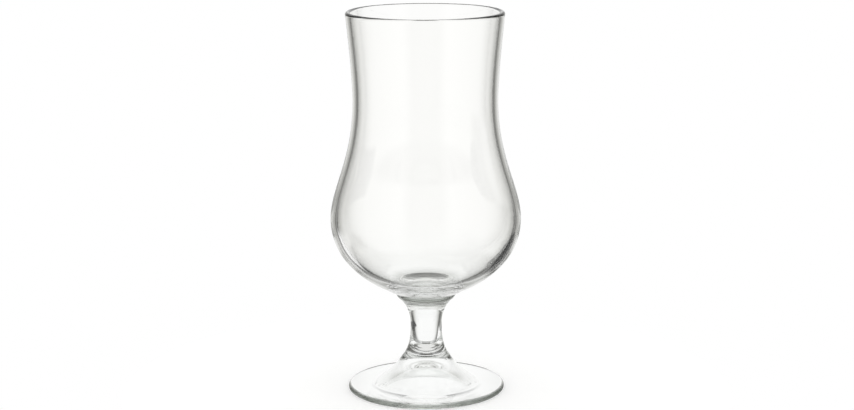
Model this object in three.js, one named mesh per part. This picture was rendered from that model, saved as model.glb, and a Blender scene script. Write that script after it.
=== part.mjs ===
// Stemmed beer glass: a blown tulip bowl, a collar that fuses it to the solid stem, and a pressed foot.
// Millimetres, +Z up. The glass stands on z = 0 and every piece is turned about the Z axis.
import * as THREE from 'three';

const { degToRad } = THREE.MathUtils;
const vertical = Math.PI / 2;
const turnSegments = 64;

// Heights of the pieces, stacked from the table up
const footHeight = 16;
const stemLength = 29.3;
const collarHeight = 3.1;
const bowlHeight = 138.6;

// Fused joints: each diameter is shared by the two flat faces that meet there
const bowlSeatDiameter = 30;
const stemTopDiameter = 25;
const stemFootDiameter = 24;

// Bowl, with its wall measured level, and its floor at the axis
const rimDiameter = 76.8;
const waistDiameter = 70.5;
const bellyDiameter = 93;
const waistBelowRim = 43.1;
const bellyAboveSeat = 37.5;
const rimWall = 2;
const waistWall = 2;
const bellyWall = 2.6;
const floorThickness = 3.6;
const rimLean = degToRad(5.8);
const undersideRise = degToRad(30.7);

// Collar: how far the fused glass swells past a straight cone
const collarSwell = 0.4;

// Stem
const stemWaistDiameter = 15.5;
const stemWaistAboveFoot = 15.4;
const stemTopRise = degToRad(51.4);
const flareRise = degToRad(58.3);

// Foot
const footDiameter = 77;
const footEdgeThickness = 2.8;
const flareDiameter = 54;
const flareEndRise = 0.8;
const standingRingWidth = 10.1;
const crownThickness = 3.5;
const hollowRise = degToRad(4);

// Pulls: how far a curve's handles reach at each station, as shares of that curve's height
const seatPull = 0.2;
const bellyPullDown = 0.667;
const bellyPullUp = 0.258;
const waistPullDown = 0.496;
const waistPullUp = 0.351;
const rimPull = 0.15;
const insideBellyPull = 0.613;
const stemFootPull = 0.1;
const stemWaistPullDown = 0.714;
const stemWaistPullUp = 0.498;
const stemTopPull = 0.353;
const flareTopPull = 0.612;
const flareEndPull = 0.24;

// The bowl's floor is level out to this share of the inside belly radius, as a handle
const floorPull = 0.5;

// The hollow's handles at its crown and at the standing ring, as shares of its radius
const crownPull = 0.4;
const ringPull = 0.45;

// A point of a profile: radius from the axis, then height
const at = (radius, height) => new THREE.Vector2(radius, height);

// The point that lies a given length from another one, at an angle measured up from the horizontal
function reach(from, angle, length) {
  return at(from.x + length * Math.cos(angle), from.y + length * Math.sin(angle));
}

// A run of a profile is a curve with the number of steps that draw it. It starts where the last one ended.
const line = (from, to) => ({ curve: new THREE.LineCurve(from, to), steps: 1 });

const bow = (from, pull, to, steps) => ({ curve: new THREE.QuadraticBezierCurve(from, pull, to), steps });

function arc(centre, radius, start, end, steps) {
  return { curve: new THREE.EllipseCurve(centre.x, centre.y, radius, radius, start, end), steps };
}

// A bend has a handle at each end, given as its angle and its length.
function bend(from, [fromAngle, fromLength], to, [toAngle, toLength], steps) {
  const fromPull = reach(from, fromAngle, fromLength);
  const toPull = reach(to, toAngle, toLength);
  return { curve: new THREE.CubicBezierCurve(from, fromPull, toPull, to), steps };
}

// Turns a profile, which starts and ends on the axis, into a named solid standing on its own z = 0.
function turned(name, runs) {
  const points = [];
  for (const { curve, steps } of runs) {
    points.push(...curve.getPoints(steps).slice(points.length ? 1 : 0));
  }
  const solid = new THREE.LatheGeometry(points, turnSegments);
  solid.rotateX(vertical);
  const clearGlass = new THREE.MeshStandardMaterial({
    color: 0xe8eeea,
    roughness: 0.03,
    metalness: 0,
    transparent: true,
    opacity: 0.35,
  });
  const mesh = new THREE.Mesh(solid, clearGlass);
  mesh.name = name;
  return mesh;
}

// The bowl: flat seat, underside, belly, waist and lip outside, then the same stations inside, less the wall.
function bowl() {
  const waistHeight = bowlHeight - waistBelowRim;
  const lipRadius = rimWall / 2;
  const lipCentre = at(rimDiameter / 2 - lipRadius, bowlHeight - lipRadius);
  const lipOutside = reach(lipCentre, -rimLean, lipRadius);
  const lipInside = reach(lipCentre, Math.PI - rimLean, lipRadius);
  const rimSlope = vertical - rimLean;
  const neck = lipCentre.y - waistHeight;
  const shoulder = waistHeight - bellyAboveSeat;
  const depth = bellyAboveSeat - floorThickness;

  const seatEdge = at(bowlSeatDiameter / 2, 0);
  const belly = at(bellyDiameter / 2, bellyAboveSeat);
  const waist = at(waistDiameter / 2, waistHeight);
  const insideWaist = at(waist.x - waistWall, waist.y);
  const insideBelly = at(belly.x - bellyWall, belly.y);
  const floorCentre = at(0, floorThickness);

  const atSeat = [undersideRise, seatPull * bellyAboveSeat];
  const underBelly = [vertical, -bellyPullDown * bellyAboveSeat];
  const overBelly = [vertical, bellyPullUp * shoulder];
  const underWaist = [vertical, -waistPullDown * shoulder];
  const overWaist = [vertical, waistPullUp * neck];
  const underRim = [rimSlope, -rimPull * neck];
  const underInsideBelly = [vertical, -insideBellyPull * depth];
  const alongFloor = [0, floorPull * insideBelly.x];

  return turned('bowl', [
    line(at(0, 0), seatEdge),
    bend(seatEdge, atSeat, belly, underBelly, 12),
    bend(belly, overBelly, waist, underWaist, 9),
    bend(waist, overWaist, lipOutside, underRim, 6),
    arc(lipCentre, lipRadius, -rimLean, Math.PI - rimLean, 6),
    bend(lipInside, underRim, insideWaist, overWaist, 6),
    bend(insideWaist, underWaist, insideBelly, overBelly, 9),
    bend(insideBelly, underInsideBelly, floorCentre, alongFloor, 12),
  ]);
}

// The collar: a slightly swollen cone between the bowl's seat and the stem's top face.
function collar() {
  const bottomEdge = at(stemTopDiameter / 2, 0);
  const topEdge = at(bowlSeatDiameter / 2, collarHeight);
  const slope = Math.atan2(topEdge.y - bottomEdge.y, topEdge.x - bottomEdge.x);
  const middle = bottomEdge.clone().lerp(topEdge, 0.5);
  return turned('collar', [
    line(at(0, 0), bottomEdge),
    bow(bottomEdge, reach(middle, slope - vertical, 2 * collarSwell), topEdge, 4),
    line(topEdge, at(0, collarHeight)),
  ]);
}

// The stem: solid, narrowest near its middle, flaring to the collar above and to the foot below.
function stem() {
  const upper = stemLength - stemWaistAboveFoot;
  const bottomEdge = at(stemFootDiameter / 2, 0);
  const waist = at(stemWaistDiameter / 2, stemWaistAboveFoot);
  const topEdge = at(stemTopDiameter / 2, stemLength);

  const atFoot = [Math.PI - flareRise, stemFootPull * stemWaistAboveFoot];
  const underWaist = [vertical, -stemWaistPullDown * stemWaistAboveFoot];
  const overWaist = [vertical, stemWaistPullUp * upper];
  const underTop = [stemTopRise, -stemTopPull * upper];

  return turned('stem', [
    line(at(0, 0), bottomEdge),
    bend(bottomEdge, atFoot, waist, underWaist, 9),
    bend(waist, overWaist, topEdge, underTop, 8),
    line(topEdge, at(0, stemLength)),
  ]);
}

// The foot: domed hollow underneath, flat standing ring, rounded edge, low rise, and the flare up to the stem.
function foot() {
  const edgeRadius = footEdgeThickness / 2;
  const edgeCentre = at(footDiameter / 2 - edgeRadius, edgeRadius);
  const crown = at(0, footHeight - crownThickness);
  const ringInside = at(edgeCentre.x - standingRingWidth, 0);
  const ringOutside = at(edgeCentre.x, 0);
  const edgeTop = at(edgeCentre.x, footEdgeThickness);
  const flareEnd = at(flareDiameter / 2, footEdgeThickness + flareEndRise);
  const flareTop = at(stemFootDiameter / 2, footHeight);
  const drop = flareTop.y - flareEnd.y;
  const lowRise = Math.atan2(flareEnd.y - edgeTop.y, flareEnd.x - edgeTop.x);

  const atCrown = [0, crownPull * ringInside.x];
  const atRing = [Math.PI - hollowRise, ringPull * ringInside.x];
  const atFlareEnd = [lowRise, flareEndPull * drop];
  const underStem = [-flareRise, flareTopPull * drop];

  return turned('foot', [
    bend(crown, atCrown, ringInside, atRing, 10),
    line(ringInside, ringOutside),
    arc(edgeCentre, edgeRadius, -vertical, vertical, 8),
    line(edgeTop, flareEnd),
    bend(flareEnd, atFlareEnd, flareTop, underStem, 10),
    line(flareTop, at(0, footHeight)),
  ]);
}

// Stacks the pieces so that each fused pair of flat faces lies in one plane.
const stack = [[foot(), footHeight], [stem(), stemLength], [collar(), collarHeight], [bowl(), bowlHeight]];
const beerGlass = new THREE.Group();
let level = 0;
for (const [piece, height] of stack) {
  piece.position.z = level;
  beerGlass.add(piece);
  level += height;
}

export default beerGlass;
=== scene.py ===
# Clear stemmed beer glass on a small white table, lit by a white studio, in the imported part's frame.
import bpy
import numpy as np
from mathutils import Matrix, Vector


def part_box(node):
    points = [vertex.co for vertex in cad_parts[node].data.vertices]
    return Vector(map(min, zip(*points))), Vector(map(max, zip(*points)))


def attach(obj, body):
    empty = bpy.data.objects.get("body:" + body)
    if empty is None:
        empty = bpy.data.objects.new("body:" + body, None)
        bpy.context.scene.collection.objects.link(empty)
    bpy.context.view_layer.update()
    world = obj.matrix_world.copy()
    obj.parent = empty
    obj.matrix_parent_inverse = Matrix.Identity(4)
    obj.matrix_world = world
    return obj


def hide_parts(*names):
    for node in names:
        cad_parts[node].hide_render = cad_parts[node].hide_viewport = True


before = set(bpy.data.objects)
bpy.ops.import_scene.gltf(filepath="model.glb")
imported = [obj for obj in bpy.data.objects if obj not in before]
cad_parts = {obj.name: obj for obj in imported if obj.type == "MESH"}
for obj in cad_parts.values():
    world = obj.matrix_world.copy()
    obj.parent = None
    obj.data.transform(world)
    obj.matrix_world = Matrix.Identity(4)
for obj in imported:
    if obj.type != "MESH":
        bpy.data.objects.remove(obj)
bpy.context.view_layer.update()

mm = 0.001
turnSteps = 288  # facets round the axis
warmth = 0.08  # how much blue the darkest grey loses
print("frame loaded:", ", ".join(sorted(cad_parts)))


def linearColour(code):
    # sRGB hex to the linear values the shaders work in
    srgb = np.array([int(code[i:i + 2], 16) for i in (1, 3, 5)]) / 255
    linear = np.where(srgb <= 0.04045, srgb / 12.92, ((srgb + 0.055) / 1.055) ** 2.4)
    return (*linear.tolist(), 1.0)


def addNode(tree, kind, inputs=None, **settings):
    # one node: settings go on the node, inputs are values or the sockets that feed it
    node = tree.nodes.new(kind)
    for key, value in settings.items():
        setattr(node, key, value)
    for key, value in (inputs or {}).items():
        if isinstance(value, bpy.types.NodeSocket):
            tree.links.new(value, node.inputs[key])
        else:
            node.inputs[key].default_value = value
    return node


def setStops(ramp, stops):
    # grey levels at places from 0 to 1 along a colour ramp, the darker the warmer
    for i, (place, level) in enumerate(stops):
        stop = ramp.elements[i] if i < 2 else ramp.elements.new(1)
        stop.position = place
        stop.color = (level, level, level * (1 - warmth * (1 - level)), 1)


def emptyMaterial(name):
    material = bpy.data.materials.new(name)
    material.use_nodes = True
    material.node_tree.nodes.clear()
    return material, material.node_tree


# Profiles are arrays of (radius, height) in millimetres, from the axis out and back to the axis.
# Their directions are in degrees.
outwards = 0
up = 90
inwards = 180
down = -90


def point(radius, height):
    return np.array([radius, height], float)


def reach(rise, length):
    # a step of that length, at an angle in degrees up from the horizontal
    return length * np.array([np.cos(np.radians(rise)), np.sin(np.radians(rise))])


def straight(start, end, steps):
    # points shared evenly along a line
    return start + np.linspace(0, 1, steps + 1)[:, None] * (end - start)


def bend(start, startPull, end, endPull, steps):
    # cubic curve from start to end, drawn towards a handle at each end
    t = np.linspace(0, 1, steps + 1)[:, None]
    near, far = start + startPull, end + endPull
    return (1 - t) ** 3 * start + 3 * t * (1 - t) ** 2 * near + 3 * t ** 2 * (1 - t) * far + t ** 3 * end


def bow(start, pull, end, steps):
    # quadratic curve from start to end, drawn towards one point between them
    t = np.linspace(0, 1, steps + 1)[:, None]
    return (1 - t) ** 2 * start + 2 * t * (1 - t) * pull + t ** 2 * end


def roundOff(centre, radius, first, last, steps):
    # part of a circle between two angles in degrees
    angle = np.radians(np.linspace(first, last, steps + 1))
    return centre + radius * np.column_stack([np.cos(angle), np.sin(angle)])


def turned(name, runs, fused=(), creased=()):
    # each profile point (r, z) goes round to (r cos a, r sin a, z), and the two ends close on the axis
    # fused numbers the runs that lie inside a joint, creased those that end in a sharp edge
    profile = np.vstack([runs[0]] + [run[1:] for run in runs[1:]]) * mm
    runSteps = [len(run) - 1 for run in runs]
    rings = profile[1:-1]
    a = np.linspace(0, 2 * np.pi, turnSteps, endpoint=False)
    x = rings[:, :1] * np.cos(a)
    y = rings[:, :1] * np.sin(a)
    z = np.broadcast_to(rings[:, 1:], x.shape)
    skin = np.stack([x, y, z], axis=-1).reshape(-1, 3)
    poles = np.array([[0, 0, profile[0, 1]], [0, 0, profile[-1, 1]]])
    firstPole, lastPole = len(skin), len(skin) + 1

    here = np.arange(turnSteps)
    there = (here + 1) % turnSteps
    below = (np.arange(len(rings) - 1) * turnSteps)[:, None]
    above = below + turnSteps
    quads = np.stack([below + here, below + there, above + there, above + here], axis=-1).reshape(-1, 4)
    lastRing = (len(rings) - 1) * turnSteps
    firstFan = np.column_stack([np.full(turnSteps, firstPole), there, here])
    lastFan = np.column_stack([lastRing + here, lastRing + there, np.full(turnSteps, lastPole)])

    mesh = bpy.data.meshes.new(name)
    corners = np.vstack([skin, poles]).tolist()
    mesh.from_pydata(corners, [], firstFan.tolist() + quads.tolist() + lastFan.tolist())
    mesh.polygons.foreach_set("use_smooth", np.ones(len(mesh.polygons), bool))
    runOfStep = np.repeat(np.arange(len(runs)), runSteps)
    slots = np.isin(runOfStep, fused).astype(np.int32)
    mesh.polygons.foreach_set("material_index", np.repeat(slots, turnSteps))

    # an edge stays sharp where both its ends lie on the last ring of a creased run
    ends = np.empty(len(mesh.edges) * 2, np.int32)
    mesh.edges.foreach_get("vertices", ends)
    ringOf = np.append(np.repeat(np.arange(len(rings)), turnSteps), [-1, -2])[ends.reshape(-1, 2)]
    sharpRings = np.cumsum(runSteps)[list(creased)] - 1
    sharp = (ringOf[:, 0] == ringOf[:, 1]) & np.isin(ringOf[:, 0], sharpRings)
    mesh.attributes.new("sharp_edge", "BOOLEAN", "EDGE").data.foreach_set("value", sharp)
    mesh.update()

    piece = bpy.data.objects.new(name, mesh)
    bpy.context.scene.collection.objects.link(piece)
    print(name, "turned,", len(mesh.polygons), "faces")
    return piece


def span(node):
    # lowest and highest level of a CAD node, and its diameter
    low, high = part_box(node)
    return low.z / mm, high.z / mm, (high.x - low.x) / mm


# Soda-lime glass, blown for the bowl and pressed for the foot. Clear, and greyed with painted shade round the
# collar and along the edge of the foot, where the eye looks through deep glass. Its skin is fire-polished,
# with a slight waviness that shows as a tremble in what is seen through it.
glassLook = {
    "thinColour": "#fffffe",
    "thickColour": "#fdfefd",
    "thickBelow": 62,  # heights, sizes and depths in mm
    "thickFade": 12,
    # painted shade: the grey of the collar, then the grey of the foot's edge
    "collarShadeColour": "#8a8f88",
    "collarShadeLevel": 47,
    "collarShadeReach": 5,
    "footEdgeShadeColour": "#8f958e",
    "edgeFrom": 37.5,  # distance from the axis
    "edgeFull": 38.45,
    "edgeBelow": 4,
    "ior": 1.52,
    "roughness": 0.0,
    "rippleSize": 14,
    "rippleDepth": 0.004,
    "chillSize": 2.5,
    "chillDepth": 0.0003,
}


def sodaLimeGlass():
    look = glassLook
    material, tree = emptyMaterial("soda-lime glass, fire-polished, with painted shade")
    place = addNode(tree, "ShaderNodeTexCoord").outputs["Object"]
    split = addNode(tree, "ShaderNodeSeparateXYZ", {"Vector": place})
    height = split.outputs["Z"]

    # a faint cast from the lower bowl down
    thick = addNode(tree, "ShaderNodeMapRange", {
        "Value": height, "From Min": (look["thickBelow"] + look["thickFade"]) * mm,
        "From Max": (look["thickBelow"] - look["thickFade"]) * mm}, interpolation_type="SMOOTHSTEP")
    cast = addNode(tree, "ShaderNodeMixRGB", {
        "Fac": thick.outputs["Result"], "Color1": linearColour(look["thinColour"]),
        "Color2": linearColour(look["thickColour"])})

    # painted shade round the collar: grey by the distance above or below its level
    off = addNode(tree, "ShaderNodeMath", {0: height, 1: look["collarShadeLevel"] * mm}, operation="SUBTRACT")
    far = addNode(tree, "ShaderNodeMath", {0: off.outputs[0]}, operation="ABSOLUTE")
    paintedCollarShade = addNode(tree, "ShaderNodeMapRange", {
        "Value": far.outputs[0], "From Min": look["collarShadeReach"] * mm, "From Max": 0},
        interpolation_type="SMOOTHSTEP")
    castAndCollarShade = addNode(tree, "ShaderNodeMixRGB", {
        "Fac": paintedCollarShade.outputs["Result"], "Color1": cast.outputs["Color"],
        "Color2": linearColour(look["collarShadeColour"])})

    # painted shade along the edge of the foot: grey far from the axis and close to the table
    level = addNode(tree, "ShaderNodeCombineXYZ", {"X": split.outputs["X"], "Y": split.outputs["Y"]})
    radius = addNode(tree, "ShaderNodeVectorMath", {0: level.outputs["Vector"]}, operation="LENGTH")
    outside = addNode(tree, "ShaderNodeMapRange", {
        "Value": radius.outputs["Value"], "From Min": look["edgeFrom"] * mm,
        "From Max": look["edgeFull"] * mm}, interpolation_type="SMOOTHSTEP")
    atFoot = addNode(tree, "ShaderNodeMath", {0: height, 1: look["edgeBelow"] * mm}, operation="LESS_THAN")
    # the mask of the painted shade along the foot's edge
    edge = addNode(tree, "ShaderNodeMath", {0: outside.outputs["Result"], 1: atFoot.outputs[0]},
                   operation="MULTIPLY")
    # the glass colour: the faint cast, plus the painted shade round the collar and along the foot's edge
    tintAndPaintedShade = addNode(tree, "ShaderNodeMixRGB", {
        "Fac": edge.outputs[0], "Color1": castAndCollarShade.outputs["Color"],
        "Color2": linearColour(look["footEdgeShadeColour"])})

    # long waves from the blowing, and the finer chill that a mould leaves
    ripple = addNode(tree, "ShaderNodeTexNoise", {
        "Vector": place, "Scale": 1 / (look["rippleSize"] * mm), "Detail": 1.0})
    waves = addNode(tree, "ShaderNodeBump", {
        "Height": ripple.outputs["Fac"], "Strength": 1.0, "Distance": look["rippleDepth"] * mm})
    chill = addNode(tree, "ShaderNodeTexNoise", {
        "Vector": place, "Scale": 1 / (look["chillSize"] * mm), "Detail": 2.0})
    skin = addNode(tree, "ShaderNodeBump", {
        "Height": chill.outputs["Fac"], "Strength": 1.0, "Distance": look["chillDepth"] * mm,
        "Normal": waves.outputs["Normal"]})

    glass = addNode(tree, "ShaderNodeBsdfPrincipled", {
        "Base Color": tintAndPaintedShade.outputs["Color"], "Roughness": look["roughness"], "IOR": look["ior"],
        "Transmission Weight": 1.0, "Normal": skin.outputs["Normal"]})
    addNode(tree, "ShaderNodeOutputMaterial", {"Surface": glass.outputs["BSDF"]})
    return material


def fusedGlass():
    # hot glass pressed onto hot glass: inside the joint nothing is left to see, and light goes straight on
    material, tree = emptyMaterial("soda-lime glass, fused joint")
    through = addNode(tree, "ShaderNodeBsdfTransparent", {"Color": (1, 1, 1, 1)})
    addNode(tree, "ShaderNodeOutputMaterial", {"Surface": through.outputs["BSDF"]})
    return material


clearGlass = sodaLimeGlass()
fusedJoint = fusedGlass()
print("glass mixed")

# The bowl: seat, underside, belly, waist and lip outside, then the same stations inside, less the wall
bowlShape = {
    "seat": 30, "rim": 76.8, "waist": 70.5,
    "waistBelowRim": 43.1, "bellyAboveSeat": 37.5,
    "rimWall": 2.5, "waistWall": 2.7, "bellyWall": 3.2, "floor": 3.6,
    "rimLean": 5.8, "undersideRise": 30.7,
    "seatPull": 0.2, "bellyPullDown": 0.667, "bellyPullUp": 0.258, "waistPullDown": 0.496,
    "waistPullUp": 0.351, "rimPull": 0.15, "insideBellyPull": 0.613, "floorPull": 0.5,
    "underSteps": 48, "shoulderSteps": 36, "neckSteps": 24, "lipSteps": 24, "floorSteps": 60,
}


def makeBowl():
    s = bowlShape
    foot, top, bellyWidth = span("bowl")
    waistLevel = top - s["waistBelowRim"]
    bellyLevel = foot + s["bellyAboveSeat"]
    lipRadius = s["rimWall"] / 2
    lipCentre = point(s["rim"] / 2 - lipRadius, top - lipRadius)
    lean = s["rimLean"]
    neck = lipCentre[1] - waistLevel
    shoulder = waistLevel - bellyLevel
    depth = s["bellyAboveSeat"] - s["floor"]

    seat = point(s["seat"] / 2, foot)
    belly = point(bellyWidth / 2, bellyLevel)
    waist = point(s["waist"] / 2, waistLevel)
    lip = roundOff(lipCentre, lipRadius, outwards - lean, inwards - lean, s["lipSteps"])
    insideWaist = waist - point(s["waistWall"], 0)
    insideBelly = belly - point(s["bellyWall"], 0)
    floorMiddle = point(0, foot + s["floor"])

    overWaist = reach(up, s["waistPullUp"] * neck)
    underWaist = reach(down, s["waistPullDown"] * shoulder)
    overBelly = reach(up, s["bellyPullUp"] * shoulder)
    underRim = reach(down - lean, s["rimPull"] * neck)
    runs = [
        straight(point(0, foot), seat, 1),
        bend(seat, reach(s["undersideRise"], s["seatPull"] * s["bellyAboveSeat"]),
             belly, reach(down, s["bellyPullDown"] * s["bellyAboveSeat"]), s["underSteps"]),
        bend(belly, overBelly, waist, underWaist, s["shoulderSteps"]),
        bend(waist, overWaist, lip[0], underRim, s["neckSteps"]),
        lip,
        bend(lip[-1], underRim, insideWaist, overWaist, s["neckSteps"]),
        bend(insideWaist, underWaist, insideBelly, overBelly, s["shoulderSteps"]),
        bend(insideBelly, reach(down, s["insideBellyPull"] * depth),
             floorMiddle, reach(outwards, s["floorPull"] * insideBelly[0]), s["floorSteps"]),
    ]
    return turned("blown_bowl", runs, fused=[0], creased=[0])


# The collar: a slightly swollen cone between the bowl's seat and the stem
collarShape = {"swell": 0.4, "steps": 16}


def makeCollar():
    s = collarShape
    low, high, width = span("collar")
    bottom = point(stemShape["top"] / 2, low)
    top = point(width / 2, high)
    out = (top - bottom)[::-1] * [1, -1] / np.linalg.norm(top - bottom)
    runs = [
        straight(point(0, low), bottom, 1),
        bow(bottom, (bottom + top) / 2 + out * 2 * s["swell"], top, s["steps"]),
        straight(top, point(0, high), 1),
    ]
    return turned("fused_collar", runs, fused=[0, 2], creased=[0, 1])


# The stem: solid, narrowest near its middle, flaring to the collar above and to the foot below
stemShape = {
    "foot": 24, "top": 25, "waist": 15.5, "waistAboveFoot": 15.4, "topRise": 51.4, "flareRise": 58.3,
    "footPull": 0.1, "waistPullDown": 0.714, "waistPullUp": 0.498, "topPull": 0.353,
    "lowerSteps": 40, "upperSteps": 36,
}


def makeStem():
    s = stemShape
    low, high = span("stem")[:2]
    upper = high - low - s["waistAboveFoot"]
    bottom = point(s["foot"] / 2, low)
    waist = point(s["waist"] / 2, low + s["waistAboveFoot"])
    top = point(s["top"] / 2, high)
    runs = [
        straight(point(0, low), bottom, 1),
        bend(bottom, reach(inwards - s["flareRise"], s["footPull"] * s["waistAboveFoot"]),
             waist, reach(down, s["waistPullDown"] * s["waistAboveFoot"]), s["lowerSteps"]),
        bend(waist, reach(up, s["waistPullUp"] * upper),
             top, reach(inwards + s["topRise"], s["topPull"] * upper), s["upperSteps"]),
        straight(top, point(0, high), 1),
    ]
    return turned("solid_stem", runs, fused=[0, 3], creased=[0, 2])


# The foot: hollowed underside, flat standing ring, rounded edge, low rise, and the flare up to the stem
footShape = {
    "edge": 2.8, "flare": 54, "flareEndRise": 0.35, "flareTopPull": 0.612, "flareEndPull": 0.24,
    "ring": 10.1, "crown": 3.5, "hollowRise": 4, "crownPull": 0.4, "ringPull": 0.45,
    "hollowSteps": 48, "ringSteps": 8, "edgeSteps": 24, "flareSteps": 48,
}


def makeFoot():
    s = footShape
    low, high, width = span("foot")
    edgeRadius = s["edge"] / 2
    edgeCentre = point(width / 2 - edgeRadius, low + edgeRadius)
    edge = roundOff(edgeCentre, edgeRadius, down, up, s["edgeSteps"])
    crown = point(0, high - s["crown"])
    ringInside = edge[0] - point(s["ring"], 0)
    flareEnd = point(s["flare"] / 2, low + s["edge"] + s["flareEndRise"])
    flareTop = point(stemShape["foot"] / 2, high)
    drop = high - flareEnd[1]
    along = (flareEnd - edge[-1]) / np.linalg.norm(flareEnd - edge[-1])
    runs = [
        bend(crown, reach(outwards, s["crownPull"] * ringInside[0]),
             ringInside, reach(inwards - s["hollowRise"], s["ringPull"] * ringInside[0]), s["hollowSteps"]),
        straight(ringInside, edge[0], s["ringSteps"]),
        edge,
        straight(edge[-1], flareEnd, s["ringSteps"]),
        bend(flareEnd, along * s["flareEndPull"] * drop,
             flareTop, reach(-stemShape["flareRise"], s["flareTopPull"] * drop), s["flareSteps"]),
        straight(flareTop, point(0, high), 1),
    ]
    return turned("pressed_foot", runs, fused=[5], creased=[0, 4])


for node, make in {"bowl": makeBowl, "collar": makeCollar, "stem": makeStem, "foot": makeFoot}.items():
    piece = make()
    piece.data.materials.append(clearGlass)
    piece.data.materials.append(fusedJoint)
    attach(piece, "root")
    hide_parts(node)
print("glass assembled")

# The table top: a round of matt white laminate. The eye sees it with the shadow of the glass, and the glass
# looks past it into the studio.
tableShape = {
    "radius": 150, "rings": 24, "gap": 0.2, "colour": "#d5d5d4", "lift": 0.4,
    "speckSize": 1.5, "speckDepth": 0.02, "speckStrength": 0.1,
}


def mattLaminate():
    # a fine pressed grain, and a lift to white for the eye alone
    s = tableShape
    material, tree = emptyMaterial("white laminate, matt")
    place = addNode(tree, "ShaderNodeTexCoord").outputs["Object"]
    grain = addNode(tree, "ShaderNodeTexNoise", {"Vector": place, "Scale": 1 / (s["speckSize"] * mm)})
    skin = addNode(tree, "ShaderNodeBump", {
        "Height": grain.outputs["Fac"], "Strength": s["speckStrength"], "Distance": s["speckDepth"] * mm})
    matt = addNode(tree, "ShaderNodeBsdfDiffuse", {
        "Color": linearColour(s["colour"]), "Normal": skin.outputs["Normal"]})
    ray = addNode(tree, "ShaderNodeLightPath")
    lift = addNode(tree, "ShaderNodeMath", {0: ray.outputs["Is Camera Ray"], 1: s["lift"]},
                   operation="MULTIPLY")
    glow = addNode(tree, "ShaderNodeEmission", {"Strength": lift.outputs[0]})
    bright = addNode(tree, "ShaderNodeAddShader", {0: matt.outputs["BSDF"], 1: glow.outputs["Emission"]})
    byGlass = addNode(tree, "ShaderNodeMath", {
        0: ray.outputs["Is Glossy Ray"], 1: ray.outputs["Is Transmission Ray"]}, operation="MAXIMUM")
    past = addNode(tree, "ShaderNodeBsdfTransparent")
    shown = addNode(tree, "ShaderNodeMixShader", {
        0: byGlass.outputs[0], 1: bright.outputs["Shader"], 2: past.outputs["BSDF"]})
    addNode(tree, "ShaderNodeOutputMaterial", {"Surface": shown.outputs["Shader"]})
    return material


def makeTable():
    # rings of growing radius just under the foot: (r cos a, r sin a, -gap)
    s = tableShape
    level = -s["gap"] * mm
    a = np.linspace(0, 2 * np.pi, turnSteps, endpoint=False)
    r = np.linspace(s["radius"] / s["rings"], s["radius"], s["rings"])[:, None] * mm
    x = r * np.cos(a)
    y = r * np.sin(a)
    z = np.full_like(x, level)
    spots = np.vstack([np.stack([x, y, z], axis=-1).reshape(-1, 3), [[0, 0, level]]])
    here = np.arange(turnSteps)
    there = (here + 1) % turnSteps
    inner = (np.arange(s["rings"] - 1) * turnSteps)[:, None]
    outer = inner + turnSteps
    quads = np.stack([inner + here, outer + here, outer + there, inner + there], axis=-1).reshape(-1, 4)
    fan = np.column_stack([here, there, np.full(turnSteps, len(spots) - 1)])
    mesh = bpy.data.meshes.new("table_top")
    mesh.from_pydata(spots.tolist(), [], quads.tolist() + fan.tolist())
    mesh.update()
    mesh.materials.append(mattLaminate())
    table = bpy.data.objects.new("table_top", mesh)
    bpy.context.scene.collection.objects.link(table)


makeTable()
print("table laid")


def onlyForGlass(thing):
    # the glass sees it, while the eye and the table don't
    thing.visible_camera = False
    thing.visible_diffuse = False
    thing.visible_shadow = False
    bpy.context.scene.collection.objects.link(thing)


# Two grey cards stand behind the glass like a pair of wings. They are white at their near edges and darken
# outwards, which draws the grey lines along the walls of the bowl. Far below the table they are darker still.
wingShape = {
    "across": 28, "back": 74, "angle": 45, "low": -120, "high": 260, "length": 445,
    # heights between which a card fades to its dark share
    "fullAbove": -25, "darkBelow": -60, "darkShare": 0.3,
    # distance along a card from its near edge, and how bright it is there
    "levels": [(0, 1.0), (33, 0.96), (51, 0.89), (69, 0.81), (93, 0.71), (122, 0.61), (165, 0.49),
               (236, 0.34), (320, 0.22), (404, 0.13), (445, 0.1)],
}


def greyCard():
    s = wingShape
    material, tree = emptyMaterial("grey card, sprayed darker along its length")
    place = addNode(tree, "ShaderNodeTexCoord").outputs["Object"]
    split = addNode(tree, "ShaderNodeSeparateXYZ", {"Vector": place})
    along = addNode(tree, "ShaderNodeMapRange", {"Value": split.outputs["X"], "From Max": s["length"] * mm})
    grey = addNode(tree, "ShaderNodeValToRGB", {"Fac": along.outputs["Result"]})
    setStops(grey.color_ramp, [(distance / s["length"], level) for distance, level in s["levels"]])
    dim = addNode(tree, "ShaderNodeMapRange", {
        "Value": split.outputs["Z"], "From Min": s["darkBelow"] * mm, "From Max": s["fullAbove"] * mm,
        "To Min": s["darkShare"]})
    glow = addNode(tree, "ShaderNodeEmission", {
        "Color": grey.outputs["Color"], "Strength": dim.outputs["Result"]})
    addNode(tree, "ShaderNodeOutputMaterial", {"Surface": glow.outputs["Emission"]})
    return material


def makeWings():
    # one flat sheet, hung twice: each copy starts beside the middle and leads back and out to its own side
    s = wingShape
    along, low, high = s["length"] * mm, s["low"] * mm, s["high"] * mm
    mesh = bpy.data.meshes.new("wing")
    mesh.from_pydata([(0, 0, low), (along, 0, low), (along, 0, high), (0, 0, high)], [], [(0, 1, 2, 3)])
    mesh.materials.append(greyCard())
    straightBack = 90
    for side, name in ((-1, "left_wing"), (1, "right_wing")):
        card = bpy.data.objects.new(name, mesh)
        card.location = (side * s["across"] / 2 * mm, s["back"] * mm, 0)
        card.rotation_euler = (0, 0, np.radians(straightBack - side * s["angle"]))
        onlyForGlass(card)


makeWings()

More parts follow.
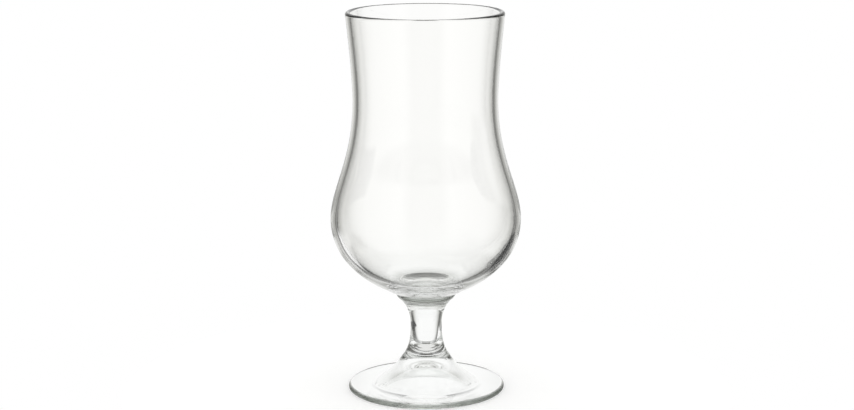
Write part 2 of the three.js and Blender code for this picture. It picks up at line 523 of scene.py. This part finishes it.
# Black felt hangs beside the foot and lies to the left and right of the glass. It darkens the lower edges of
# the bowl, the stem and the edge of the foot. Its own edges are soft, so that none draws a line in the glass.
feltShape = {
    "level": 0.06,
    # hung sheets: place across, front and back, low and high, soft share of the width and of the height
    "hung": [(57, -45, 25, -11, 6, 0.3, 0.3), (-57, -45, -8, -11, 6, 0.5, 0.3)],
    # laid sheets: left and right, front and back, soft share of the width and of the depth
    "laid": [(52, 190, 35, 220, 0.2, 0.25), (-190, -52, 5, 55, 0.2, 0.6)],
    "laidLevel": -0.5,
}


def softFelt(across, along):
    # black in the middle of the sheet, clear at its edges, by the distance from the middle of the UV square
    material, tree = emptyMaterial("black felt, frayed edges")
    middle = 0.5
    place = addNode(tree, "ShaderNodeTexCoord").outputs["UV"]
    split = addNode(tree, "ShaderNodeSeparateXYZ", {"Vector": place})
    covers = []
    for axis, share in (("X", across), ("Y", along)):
        off = addNode(tree, "ShaderNodeMath", {0: split.outputs[axis], 1: middle}, operation="SUBTRACT")
        far = addNode(tree, "ShaderNodeMath", {0: off.outputs[0]}, operation="ABSOLUTE")
        cover = addNode(tree, "ShaderNodeMapRange", {
            "Value": far.outputs[0], "From Min": middle, "From Max": middle * (1 - share)},
            interpolation_type="SMOOTHSTEP")
        covers.append(cover.outputs["Result"])
    both = addNode(tree, "ShaderNodeMath", {0: covers[0], 1: covers[1]}, operation="MULTIPLY")
    level = feltShape["level"]
    clear = addNode(tree, "ShaderNodeBsdfTransparent")
    black = addNode(tree, "ShaderNodeEmission", {"Color": (level, level, level, 1), "Strength": 1.0})
    felt = addNode(tree, "ShaderNodeMixShader", {
        0: both.outputs[0], 1: clear.outputs["BSDF"], 2: black.outputs["Emission"]})
    addNode(tree, "ShaderNodeOutputMaterial", {"Surface": felt.outputs["Shader"]})
    return material


def makeSheet(corners, across, along):
    # a flat sheet on four corners, with the whole UV square on it
    mesh = bpy.data.meshes.new("felt")
    mesh.from_pydata((np.array(corners) * mm).tolist(), [], [(0, 1, 2, 3)])
    mesh.uv_layers.new().data.foreach_set("uv", [0, 0, 1, 0, 1, 1, 0, 1])
    mesh.materials.append(softFelt(across, along))
    sheet = bpy.data.objects.new("felt", mesh)
    onlyForGlass(sheet)


def makeFelt():
    s = feltShape
    for x, front, back, low, high, across, along in s["hung"]:
        makeSheet([(x, front, low), (x, back, low), (x, back, high), (x, front, high)], across, along)
    z = s["laidLevel"]
    for left, right, front, back, across, along in s["laid"]:
        makeSheet([(left, front, z), (right, front, z), (right, back, z), (left, back, z)], across, along)


makeFelt()
print("cards and felt up")


def mirrored(half):
    # the right half of a ring of levels, repeated on the left
    return [(-angle, level) for angle, level in reversed(half)] + half


# The studio is white for the eye and for the table. The glass sees a ring of panels instead: a white sheet
# straight behind, dark gaps beside it that draw the edges of the glass, white sides and a pale grey front.
# Each ring gives the azimuth in degrees from straight behind, towards +X, and how bright the studio is there.
rightPanels = [(32, 1.0), (39, 0.1), (48, 0.12), (58, 0.45), (72, 0.9), (90, 1.0), (145, 1.0),
               (160, 0.75), (180, 0.75)]
leftSweep = [(-180, 0.75), (-160, 0.75), (-145, 1.0), (-96, 1.0), (-88, 0.4), (-74, 0.3), (-60, 1.0)]
studio = {
    "panels": mirrored(rightPanels),
    "sweep": leftSweep + rightPanels,  # below the panels: white further round on the left
    "floor": mirrored([(70, 0.1), (100, 0.3), (120, 0.5), (140, 0.6), (180, 0.6)]),
    "ground": mirrored([(180, 0.8)]),
    "ceiling": [(-180, 0.8), (-130, 0.95), (-60, 0.4), (40, 0.9), (130, 0.95), (180, 0.8)],
    # elevations in degrees between which each ring takes over from those before it
    "rise": {"sweep": (-13, -22), "floor": (-36, -42), "ground": (-55, -65), "ceiling": (30, 50)},
}


def makeStudio():
    world = bpy.data.worlds.new("studio")
    bpy.context.scene.world = world
    world.use_nodes = True
    tree = world.node_tree
    tree.nodes.clear()
    way = addNode(tree, "ShaderNodeTexCoord").outputs["Generated"]
    split = addNode(tree, "ShaderNodeSeparateXYZ", {"Vector": way})
    azimuth = addNode(tree, "ShaderNodeMath", {0: split.outputs["X"], 1: split.outputs["Y"]},
                      operation="ARCTAN2")
    turn = addNode(tree, "ShaderNodeMapRange", {
        "Value": azimuth.outputs[0], "From Min": -np.pi, "From Max": np.pi})
    height = addNode(tree, "ShaderNodeMath", {0: split.outputs["Z"]}, operation="ARCSINE")

    def around(ring):
        # a ramp runs from 0 to 1 once round, with straight behind at its middle
        levels = addNode(tree, "ShaderNodeValToRGB", {"Fac": turn.outputs["Result"]})
        setStops(levels.color_ramp, [(angle / 360 + 0.5, level) for angle, level in ring])
        return levels.outputs["Color"]

    room = around(studio["panels"])
    for name, (first, full) in studio["rise"].items():
        share = addNode(tree, "ShaderNodeMapRange", {
            "Value": height.outputs[0], "From Min": np.radians(first), "From Max": np.radians(full)},
            interpolation_type="SMOOTHSTEP")
        room = addNode(tree, "ShaderNodeMixRGB", {
            "Fac": share.outputs["Result"], "Color1": room, "Color2": around(studio[name])}).outputs["Color"]

    # only a ray from the glass that hasn't met the table sees the rings
    ray = addNode(tree, "ShaderNodeLightPath")
    byGlass = addNode(tree, "ShaderNodeMath", {
        0: ray.outputs["Is Glossy Ray"], 1: ray.outputs["Is Transmission Ray"]}, operation="MAXIMUM")
    offTable = addNode(tree, "ShaderNodeMath", {0: 1.0, 1: ray.outputs["Diffuse Depth"]},
                       operation="SUBTRACT", use_clamp=True)
    inGlass = addNode(tree, "ShaderNodeMath", {0: byGlass.outputs[0], 1: offTable.outputs[0]},
                      operation="MULTIPLY")
    seen = addNode(tree, "ShaderNodeMixRGB", {
        "Fac": inGlass.outputs[0], "Color1": (1, 1, 1, 1), "Color2": room})
    light = addNode(tree, "ShaderNodeBackground", {"Color": seen.outputs["Color"], "Strength": 1.0})
    addNode(tree, "ShaderNodeOutputWorld", {"Surface": light.outputs["Background"]})


makeStudio()
print("studio lit")

# The camera, where the photograph's outline puts it: metres, degrees, and lens and sensor in millimetres
cameraPlace = {
    "back": 0.96332, "height": 0.29142, "down": 11.685, "yaw": 0.037, "roll": -0.2,
    "lens": 84.94, "sensor": 36,
}


def makeCamera():
    s = cameraPlace
    data = bpy.data.cameras.new("camera")
    data.sensor_fit = "HORIZONTAL"
    data.sensor_width = s["sensor"]
    data.lens = s["lens"]
    camera = bpy.data.objects.new("camera", data)
    camera.location = (0, -s["back"], s["height"])
    camera.rotation_mode = "XYZ"
    level = 90  # unturned, a camera looks straight down
    camera.rotation_euler = np.radians([level - s["down"], 0, -s["yaw"]])
    camera.rotation_euler.rotate_axis("Z", np.radians(s["roll"]))
    bpy.context.scene.collection.objects.link(camera)
    bpy.context.scene.camera = camera


makeCamera()
print("camera set")

scene = bpy.context.scene
scene.view_settings.view_transform = "Standard"
scene.cycles.max_bounces = 48  # thick glass needs many passes
scene.cycles.glossy_bounces = 32
scene.cycles.transmission_bounces = 32
scene.cycles.transparent_max_bounces = 24
